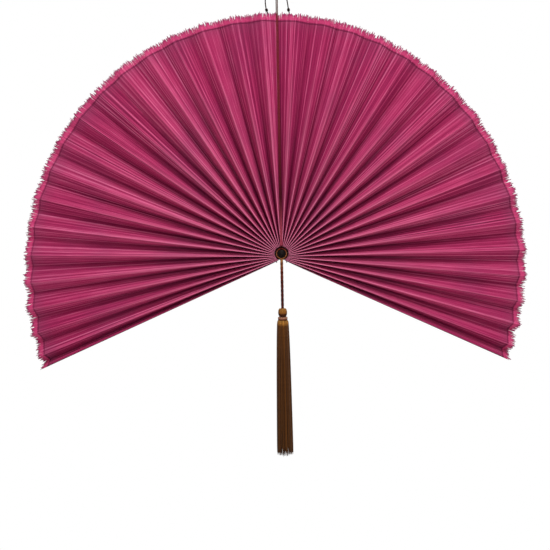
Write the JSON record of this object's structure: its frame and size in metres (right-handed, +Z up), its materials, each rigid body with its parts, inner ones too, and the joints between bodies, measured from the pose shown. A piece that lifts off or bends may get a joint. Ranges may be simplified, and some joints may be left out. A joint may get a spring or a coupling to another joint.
{
  "type": "folding wall fan",
  "caption": "Large pleated wall fan folded from a dyed bamboo mat, hung on cords from a nail, with a tassel at its hub; both wings fold up to the middle.",
  "frame": {"origin": "the nail: the inside top of the hanging loop, straight above the hub", "axes": "+Z up, +X to the right of someone facing the fan, +Y into the wall; the front faces -Y"},
  "size_m": [1.003, 0.0487, 0.9955],
  "materials": {
    "dyed_bamboo": "matt dyed bamboo slivers, magenta",
    "hub_wood": "dark stained turned wood",
    "black_bead": "black lacquered bead, satin",
    "brown_cord": "twisted brown cord",
    "dark_cord": "dark waxed cord",
    "golden_cord": "golden brown silky cord and thread",
    "tassel_yarn": "brown silky yarn"
  },
  "bodies": {
    "hub": {"hub_drum": "hub_wood", "hub_bead": "black_bead", "lacing_cord": "brown_cord", "lacing_knot_left": "brown_cord", "lacing_knot_right": "brown_cord", "hanging_cord": "brown_cord", "side_cord_left": "dark_cord", "side_cord_right": "dark_cord", "side_knot_left": "dark_cord", "side_knot_right": "dark_cord", "gather_knot": "brown_cord", "hanging_loop": "brown_cord", "pleat_left_01": "dyed_bamboo", "pleat_right_01": "dyed_bamboo"},
    "left_17": {"pleat_left_17": "dyed_bamboo", "end_panel_left": "dyed_bamboo"},
    "left_02": {"pleat_left_02": "dyed_bamboo"},
    "left_03": {"pleat_left_03": "dyed_bamboo"},
    "left_04": {"pleat_left_04": "dyed_bamboo"},
    "left_05": {"pleat_left_05": "dyed_bamboo"},
    "left_06": {"pleat_left_06": "dyed_bamboo"},
    "left_07": {"pleat_left_07": "dyed_bamboo"},
    "left_08": {"pleat_left_08": "dyed_bamboo"},
    "left_09": {"pleat_left_09": "dyed_bamboo"},
    "left_10": {"pleat_left_10": "dyed_bamboo"},
    "left_11": {"pleat_left_11": "dyed_bamboo"},
    "left_12": {"pleat_left_12": "dyed_bamboo"},
    "left_13": {"pleat_left_13": "dyed_bamboo"},
    "left_14": {"pleat_left_14": "dyed_bamboo"},
    "left_15": {"pleat_left_15": "dyed_bamboo"},
    "left_16": {"pleat_left_16": "dyed_bamboo"},
    "right_17": {"pleat_right_17": "dyed_bamboo", "end_panel_right": "dyed_bamboo"},
    "right_02": {"pleat_right_02": "dyed_bamboo"},
    "right_03": {"pleat_right_03": "dyed_bamboo"},
    "right_04": {"pleat_right_04": "dyed_bamboo"},
    "right_05": {"pleat_right_05": "dyed_bamboo"},
    "right_06": {"pleat_right_06": "dyed_bamboo"},
    "right_07": {"pleat_right_07": "dyed_bamboo"},
    "right_08": {"pleat_right_08": "dyed_bamboo"},
    "right_09": {"pleat_right_09": "dyed_bamboo"},
    "right_10": {"pleat_right_10": "dyed_bamboo"},
    "right_11": {"pleat_right_11": "dyed_bamboo"},
    "right_12": {"pleat_right_12": "dyed_bamboo"},
    "right_13": {"pleat_right_13": "dyed_bamboo"},
    "right_14": {"pleat_right_14": "dyed_bamboo"},
    "right_15": {"pleat_right_15": "dyed_bamboo"},
    "right_16": {"pleat_right_16": "dyed_bamboo"},
    "tassel_loop": {"tassel_loop": "golden_cord"},
    "tassel": {"tassel_cord": "golden_cord", "tassel_bead": "golden_cord", "tassel_neck": "golden_cord", "tassel_skirt": "tassel_yarn"}
  },
  "joints": [
    {"name": "wing_left", "type": "hinge", "parent": "hub", "child": "left_17", "pos_m": [0, 0, -0.596], "axis": [0, 1, 0], "range_deg": [0, 91.14], "deforming": ["pleat_left_17", "end_panel_left"]},
    {"name": "left_02_fold", "type": "hinge", "parent": "hub", "child": "left_02", "pos_m": [0, 0, -0.596], "axis": [0, 1, 0], "range_deg": [0, 3.19], "deforming": ["pleat_left_02"]},
    {"name": "left_03_fold", "type": "hinge", "parent": "hub", "child": "left_03", "pos_m": [0, 0, -0.596], "axis": [0, 1, 0], "range_deg": [0, 9.54], "deforming": ["pleat_left_03"]},
    {"name": "left_04_fold", "type": "hinge", "parent": "hub", "child": "left_04", "pos_m": [0, 0, -0.596], "axis": [0, 1, 0], "range_deg": [0, 15.88], "deforming": ["pleat_left_04"]},
    {"name": "left_05_fold", "type": "hinge", "parent": "hub", "child": "left_05", "pos_m": [0, 0, -0.596], "axis": [0, 1, 0], "range_deg": [0, 22.21], "deforming": ["pleat_left_05"]},
    {"name": "left_06_fold", "type": "hinge", "parent": "hub", "child": "left_06", "pos_m": [0, 0, -0.596], "axis": [0, 1, 0], "range_deg": [0, 28.54], "deforming": ["pleat_left_06"]},
    {"name": "left_07_fold", "type": "hinge", "parent": "hub", "child": "left_07", "pos_m": [0, 0, -0.596], "axis": [0, 1, 0], "range_deg": [0, 34.84], "deforming": ["pleat_left_07"]},
    {"name": "left_08_fold", "type": "hinge", "parent": "hub", "child": "left_08", "pos_m": [0, 0, -0.596], "axis": [0, 1, 0], "range_deg": [0, 41.11], "deforming": ["pleat_left_08"]},
    {"name": "left_09_fold", "type": "hinge", "parent": "hub", "child": "left_09", "pos_m": [0, 0, -0.596], "axis": [0, 1, 0], "range_deg": [0, 47.33], "deforming": ["pleat_left_09"]},
    {"name": "left_10_fold", "type": "hinge", "parent": "hub", "child": "left_10", "pos_m": [0, 0, -0.596], "axis": [0, 1, 0], "range_deg": [0, 53.47], "deforming": ["pleat_left_10"]},
    {"name": "left_11_fold", "type": "hinge", "parent": "hub", "child": "left_11", "pos_m": [0, 0, -0.596], "axis": [0, 1, 0], "range_deg": [0, 59.51], "deforming": ["pleat_left_11"]},
    {"name": "left_12_fold", "type": "hinge", "parent": "hub", "child": "left_12", "pos_m": [0, 0, -0.596], "axis": [0, 1, 0], "range_deg": [0, 65.42], "deforming": ["pleat_left_12"]},
    {"name": "left_13_fold", "type": "hinge", "parent": "hub", "child": "left_13", "pos_m": [0, 0, -0.596], "axis": [0, 1, 0], "range_deg": [0, 71.15], "deforming": ["pleat_left_13"]},
    {"name": "left_14_fold", "type": "hinge", "parent": "hub", "child": "left_14", "pos_m": [0, 0, -0.596], "axis": [0, 1, 0], "range_deg": [0, 76.65], "deforming": ["pleat_left_14"]},
    {"name": "left_15_fold", "type": "hinge", "parent": "hub", "child": "left_15", "pos_m": [0, 0, -0.596], "axis": [0, 1, 0], "range_deg": [0, 81.86], "deforming": ["pleat_left_15"]},
    {"name": "left_16_fold", "type": "hinge", "parent": "hub", "child": "left_16", "pos_m": [0, 0, -0.596], "axis": [0, 1, 0], "range_deg": [0, 86.73], "deforming": ["pleat_left_16"]},
    {"name": "wing_right", "type": "hinge", "parent": "hub", "child": "right_17", "pos_m": [0, 0, -0.596], "axis": [0, -1, 0], "range_deg": [0, 91.14], "deforming": ["pleat_right_17", "end_panel_right"]},
    {"name": "right_02_fold", "type": "hinge", "parent": "hub", "child": "right_02", "pos_m": [0, 0, -0.596], "axis": [0, -1, 0], "range_deg": [0, 3.19], "deforming": ["pleat_right_02"]},
    {"name": "right_03_fold", "type": "hinge", "parent": "hub", "child": "right_03", "pos_m": [0, 0, -0.596], "axis": [0, -1, 0], "range_deg": [0, 9.54], "deforming": ["pleat_right_03"]},
    {"name": "right_04_fold", "type": "hinge", "parent": "hub", "child": "right_04", "pos_m": [0, 0, -0.596], "axis": [0, -1, 0], "range_deg": [0, 15.88], "deforming": ["pleat_right_04"]},
    {"name": "right_05_fold", "type": "hinge", "parent": "hub", "child": "right_05", "pos_m": [0, 0, -0.596], "axis": [0, -1, 0], "range_deg": [0, 22.21], "deforming": ["pleat_right_05"]},
    {"name": "right_06_fold", "type": "hinge", "parent": "hub", "child": "right_06", "pos_m": [0, 0, -0.596], "axis": [0, -1, 0], "range_deg": [0, 28.54], "deforming": ["pleat_right_06"]},
    {"name": "right_07_fold", "type": "hinge", "parent": "hub", "child": "right_07", "pos_m": [0, 0, -0.596], "axis": [0, -1, 0], "range_deg": [0, 34.84], "deforming": ["pleat_right_07"]},
    {"name": "right_08_fold", "type": "hinge", "parent": "hub", "child": "right_08", "pos_m": [0, 0, -0.596], "axis": [0, -1, 0], "range_deg": [0, 41.11], "deforming": ["pleat_right_08"]},
    {"name": "right_09_fold", "type": "hinge", "parent": "hub", "child": "right_09", "pos_m": [0, 0, -0.596], "axis": [0, -1, 0], "range_deg": [0, 47.33], "deforming": ["pleat_right_09"]},
    {"name": "right_10_fold", "type": "hinge", "parent": "hub", "child": "right_10", "pos_m": [0, 0, -0.596], "axis": [0, -1, 0], "range_deg": [0, 53.47], "deforming": ["pleat_right_10"]},
    {"name": "right_11_fold", "type": "hinge", "parent": "hub", "child": "right_11", "pos_m": [0, 0, -0.596], "axis": [0, -1, 0], "range_deg": [0, 59.51], "deforming": ["pleat_right_11"]},
    {"name": "right_12_fold", "type": "hinge", "parent": "hub", "child": "right_12", "pos_m": [0, 0, -0.596], "axis": [0, -1, 0], "range_deg": [0, 65.42], "deforming": ["pleat_right_12"]},
    {"name": "right_13_fold", "type": "hinge", "parent": "hub", "child": "right_13", "pos_m": [0, 0, -0.596], "axis": [0, -1, 0], "range_deg": [0, 71.15], "deforming": ["pleat_right_13"]},
    {"name": "right_14_fold", "type": "hinge", "parent": "hub", "child": "right_14", "pos_m": [0, 0, -0.596], "axis": [0, -1, 0], "range_deg": [0, 76.65], "deforming": ["pleat_right_14"]},
    {"name": "right_15_fold", "type": "hinge", "parent": "hub", "child": "right_15", "pos_m": [0, 0, -0.596], "axis": [0, -1, 0], "range_deg": [0, 81.86], "deforming": ["pleat_right_15"]},
    {"name": "right_16_fold", "type": "hinge", "parent": "hub", "child": "right_16", "pos_m": [0, 0, -0.596], "axis": [0, -1, 0], "range_deg": [0, 86.73], "deforming": ["pleat_right_16"]},
    {"name": "tassel_swing", "type": "hinge", "parent": "hub", "child": "tassel_loop", "pos_m": [0, -0.0155, -0.596], "axis": [0, 1, 0], "range_deg": [-30, 30]},
    {"name": "tassel_tilt", "type": "hinge", "parent": "tassel_loop", "child": "tassel", "pos_m": [0, -0.0155, -0.6056], "axis": [-1, 0, 0], "range_deg": [-2, 45]}
  ],
  "couplings": [
    {"joint": "left_02_fold", "follows": "wing_left", "ratio": 0.03481},
    {"joint": "left_03_fold", "follows": "wing_left", "ratio": 0.10442},
    {"joint": "left_04_fold", "follows": "wing_left", "ratio": 0.174},
    {"joint": "left_05_fold", "follows": "wing_left", "ratio": 0.24352},
    {"joint": "left_06_fold", "follows": "wing_left", "ratio": 0.3129},
    {"joint": "left_07_fold", "follows": "wing_left", "ratio": 0.38206},
    {"joint": "left_08_fold", "follows": "wing_left", "ratio": 0.45084},
    {"joint": "left_09_fold", "follows": "wing_left", "ratio": 0.51906},
    {"joint": "left_10_fold", "follows": "wing_left", "ratio": 0.58647},
    {"joint": "left_11_fold", "follows": "wing_left", "ratio": 0.65276},
    {"joint": "left_12_fold", "follows": "wing_left", "ratio": 0.71756},
    {"joint": "left_13_fold", "follows": "wing_left", "ratio": 0.7804},
    {"joint": "left_14_fold", "follows": "wing_left", "ratio": 0.84075},
    {"joint": "left_15_fold", "follows": "wing_left", "ratio": 0.89797},
    {"joint": "left_16_fold", "follows": "wing_left", "ratio": 0.95134},
    {"joint": "right_02_fold", "follows": "wing_right", "ratio": 0.03481},
    {"joint": "right_03_fold", "follows": "wing_right", "ratio": 0.10442},
    {"joint": "right_04_fold", "follows": "wing_right", "ratio": 0.174},
    {"joint": "right_05_fold", "follows": "wing_right", "ratio": 0.24352},
    {"joint": "right_06_fold", "follows": "wing_right", "ratio": 0.3129},
    {"joint": "right_07_fold", "follows": "wing_right", "ratio": 0.38206},
    {"joint": "right_08_fold", "follows": "wing_right", "ratio": 0.45084},
    {"joint": "right_09_fold", "follows": "wing_right", "ratio": 0.51906},
    {"joint": "right_10_fold", "follows": "wing_right", "ratio": 0.58647},
    {"joint": "right_11_fold", "follows": "wing_right", "ratio": 0.65276},
    {"joint": "right_12_fold", "follows": "wing_right", "ratio": 0.71756},
    {"joint": "right_13_fold", "follows": "wing_right", "ratio": 0.7804},
    {"joint": "right_14_fold", "follows": "wing_right", "ratio": 0.84075},
    {"joint": "right_15_fold", "follows": "wing_right", "ratio": 0.89797},
    {"joint": "right_16_fold", "follows": "wing_right", "ratio": 0.95134}
  ]
}
